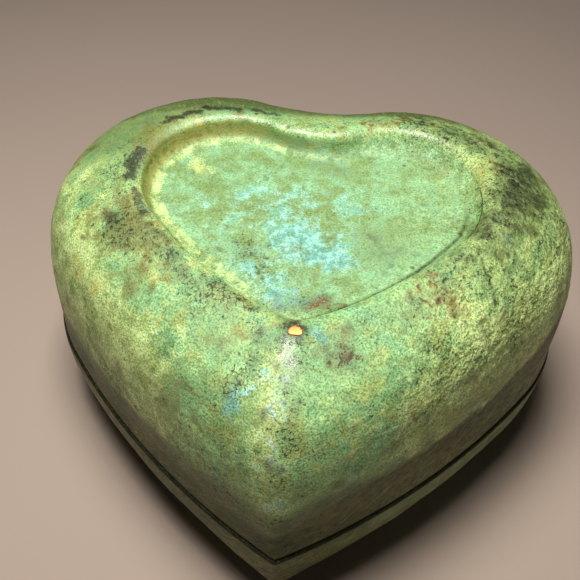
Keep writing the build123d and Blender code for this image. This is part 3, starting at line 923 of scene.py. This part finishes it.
# ---- Base ----------------------------------------------------------------------
def held_within(points, limit):
    """A ring drawn in to a limiting outline wherever it lies beyond it."""
    centre = np.array((0, -12.0))
    reach = np.linalg.norm(points[:, :2] - centre, axis=1)
    most = np.linalg.norm(limit - centre, axis=1)
    plan = np.where((reach > most)[:, None], limit, points[:, :2])
    return np.column_stack((plan, points[:, 2]))


def bowl_to_ledge():
    """Rings from the middle of the bowl's floor up its wall and over the collar's ledge."""
    limit = COLLAR_INSIDE.outline()
    wall = clipped(base_wall(26, SKIN), FOOT_Z + SKIN, SEAT_Z)[::-1]
    wall = [held_within(points, limit) for points in wall]
    seat = SEAM.inset(COLLAR_INSET - 0.05)
    ledge = [ring(seat.inset(0.1), SEAT_Z), ring(seat, SEAT_Z + 0.1), ring(seat, LAND - 0.1),
             ring(seat.inset(-0.1), LAND)]
    return filled(wall[0], 8)[::-1] + wall + ledge


def rounded_edge(heart, height, radius, angles):
    """Rings round the edge from a face at a height to a heart's wall; negative rounds a lower edge."""
    return [ring(heart.inset(abs(radius) * (1 - math.cos(angle))),
                 height - radius * (1 - math.sin(angle)))
            for angle in angles]


def rim_and_wall():
    """Rings of the land, its eased outer corner and the outer wall down to the foot."""
    rounded = rounded_edge(BASE_RIM, LAND, RIM_EASE, quarter_angles(5))
    outer = np.array([ring(BASE_RIM.inset(RIM_EASE + 0.1), LAND)] + rounded[:-1] + base_wall(BASE_CELLS))
    ridge = np.interp(np.linspace(0, 1, len(outer)), (0, 0.15, 0.6, 1.0), (0.0, 0.1, 0.5, 0.8))
    return soften(outer, np.outer(ridge, near_tip(12)), 24, 1)


def underside():
    """Rings from the foot's edge in under it, up the felt's pocket, to the pocket's middle."""
    pocket = FOOT.inset(FELT_BORDER - 0.1)
    top = felt_high.z + 0.1
    return [ring(FOOT.inset(0.2), FOOT_Z), ring(pocket.inset(-0.1), FOOT_Z), ring(pocket, FOOT_Z + 0.1),
            ring(pocket, top)] + filled(ring(pocket.inset(0.1), top), 4)


def base_zones(grid):
    """Where each kind of patina lies on the base: brown metal with dull green and ochre clouds, painted
    shade over most of it, and a painted shadow on the rim's top.
    """
    zones = Zones(grid)
    x = grid[..., 0]
    cloud = field(grid, 8, 3, seed=23)
    rim = smoothstep(LAND - 0.9, LAND - 0.2, grid[..., 2])
    right = smoothstep(2, 26, x)
    zones.add("brown", 0.95 - 0.3 * smoothstep(0.0, 0.5, cloud) - 0.5 * right)
    # Painted shadow: the rim's top, by the seam under the lid's edge, is dark
    zones.add("dark", rim)
    zones.add("olive", 0.9)
    zones.add("ochre", 0.4 * smoothstep(0.1, 0.6, -cloud) * smoothstep(10, -20, x))
    zones.add("pits", 0.4)
    # Painted shade: the base is darkened, less towards the right
    zones.add("shade", 1 - 0.45 * right)
    return zones.layers()


def base_relief(grid):
    """Unevenness of the base's casting, in millimetres."""
    z = grid[..., 2]
    fade = smoothstep(LAND - 0.4, LAND - 3, z) * smoothstep(FOOT_Z, FOOT_Z + 2, z)
    return fade * (0.16 * field(grid, 18, 2, seed=11) + 0.07 * field(grid, 5, 3, seed=12))


inner = np.array(bowl_to_ledge())
outer = rim_and_wall()
under = np.array(underside())
base_masks = base_zones(outer)
outer = outer + normals(outer) * base_relief(outer)[..., None]
base_grid = np.concatenate((inner, outer, under))
unpainted = np.zeros((len(inner), RING, 4))
painted = {layer: np.concatenate((unpainted, masks, np.repeat(masks[-1:], len(under), 0)))
           for layer, masks in base_masks.items()}
base = mesh_from_rings("base_shell_patina", base_grid, [patina, raw_cast], painted,
                       inner_rows=range(len(inner)))
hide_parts("base_shell")
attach(base, "base")


# ---- Collar and pads -----------------------------------------------------------
def pad_grid(heart, low, high, cells, crown, crease, seed):
    """A pad with rounded edges: flat below, crowned above, with shallow creases."""
    round_off = (high - low) * 0.42
    under_edge = rounded_edge(heart, low, -round_off, quarter_angles(4)[::-1])
    top_edge = rounded_edge(heart, high, round_off, quarter_angles(5))
    top = filled(top_edge[0], cells, crown)
    grid = np.array(top[::-1] + top_edge + under_edge + filled(under_edge[-1], 4))
    reach = (grid[..., 2] > high - 0.3) * np.minimum(1, np.arange(len(grid)) / 4)[:, None]
    folds = np.abs(field(grid, 9, 2, seed=seed)) * -2 + field(grid, 3, 2, seed=seed + 1) * 0.4
    grid[..., 2] += crease * np.clip(folds, -1, 0.4) * reach
    return grid


velvet = pile_material("lining_velvet_pile", srgb(96, 24, 38), srgb(136, 46, 62), srgb(196, 120, 128), 0.35)
lining_grid = pad_grid(FOOT.inset(LINING_MARGIN), lining_low.z, lining_high.z,
                       cells=40, crown=0.5, crease=0.22, seed=14)
lining = mesh_from_rings("lining_pad_velvet", lining_grid, [velvet])
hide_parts("lining_pad")
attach(lining, "base")

felt = pile_material("foot_felt_pile", srgb(60, 72, 56), srgb(86, 100, 80), srgb(124, 138, 116), 0.5)
foot_pad_grid = pad_grid(FOOT.inset(FELT_BORDER), felt_low.z, felt_high.z,
                         cells=24, crown=0.0, crease=0.0, seed=16)
foot_pad = mesh_from_rings("foot_felt", foot_pad_grid, [felt])
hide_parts("foot_felt_pad")
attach(foot_pad, "base")

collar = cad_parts["locating_collar"]
collar.data.materials.clear()
collar.data.materials.append(brass_material("collar_brushed_brass"))


# ---- Floor, light and camera ---------------------------------------------------
BOX_MIDDLE = Vector((0, -0.01, 0.04))


def make_floor():
    """A wide pale floor, a little darker behind the box as painted falloff of the light, with a faint
    unevenness of tone.
    """
    side = 3.0
    corners = [(-side, -side, 0), (side, -side, 0), (side, side, 0), (-side, side, 0)]
    mesh = bpy.data.meshes.new("floor")
    mesh.from_pydata(corners, [], [(0, 1, 2, 3)])
    shader = Shader("pale_floor")
    tone = shader.noise(120, 2, 0.5, seed=51)
    axes = shader.tree.nodes.new("ShaderNodeSeparateXYZ")
    shader.tree.links.new(shader.place, axes.inputs[0])
    # Painted light falloff: the floor is darker further back
    near = shader.mix(tone, (0.46, 0.365, 0.305), (0.50, 0.40, 0.335))
    far = shader.mix(tone, (0.29, 0.23, 0.20), (0.33, 0.26, 0.225))
    shader.set("Base Color", shader.mix(shader.ramp(axes.outputs["Y"], -0.04, 0.24), near, far))
    shader.set("Roughness", 0.9)
    mesh.materials.append(shader.material)
    floor = bpy.data.objects.new("floor", mesh)
    bpy.context.scene.collection.objects.link(floor)


def make_area_light(name, position, size, power, colour):
    """A square soft light aimed at the box."""
    lamp = bpy.data.lights.new(name, "AREA")
    lamp.size = size
    lamp.energy = power
    lamp.color = colour
    light = bpy.data.objects.new(name, lamp)
    light.location = position
    light.rotation_mode = "QUATERNION"
    light.rotation_quaternion = (BOX_MIDDLE - Vector(position)).to_track_quat("-Z", "Y")
    bpy.context.scene.collection.objects.link(light)


def make_camera():
    """The reference viewpoint: in front of the tip, 50 degrees above the horizon, slightly rolled."""
    right = Vector((0.9944, 0.1036, 0.0226))
    up = Vector((-0.0939, 0.7606, 0.6425))
    back = Vector((0.0494, -0.6410, 0.7660))
    place = Vector((0.00652, -0.13627, 0.19127))
    camera = bpy.data.objects.new("camera", bpy.data.cameras.new("camera"))
    camera.data.lens = 54.04
    camera.data.sensor_width = 36.0
    camera.data.clip_start = 0.005
    camera.matrix_world = Matrix((
        (right.x, up.x, back.x, place.x),
        (right.y, up.y, back.y, place.y),
        (right.z, up.z, back.z, place.z),
        (0, 0, 0, 1),
    ))
    bpy.context.scene.collection.objects.link(camera)
    bpy.context.scene.camera = camera


make_floor()
make_area_light("overhead", position=(-0.034, -0.013, 0.40), size=0.13, power=1.74,
                colour=(1.0, 0.965, 0.90))
make_area_light("front_fill", position=(0.35, -0.85, 0.17), size=0.32, power=0.2,
                colour=(0.95, 0.97, 1.0))

world = bpy.data.worlds.new("studio")
world.use_nodes = True
world.node_tree.nodes["Background"].inputs["Color"].default_value = (0.93, 0.95, 1.0, 1)
world.node_tree.nodes["Background"].inputs["Strength"].default_value = 0.012
bpy.context.scene.world = world
bpy.context.scene.view_settings.view_transform = "Standard"
make_camera()
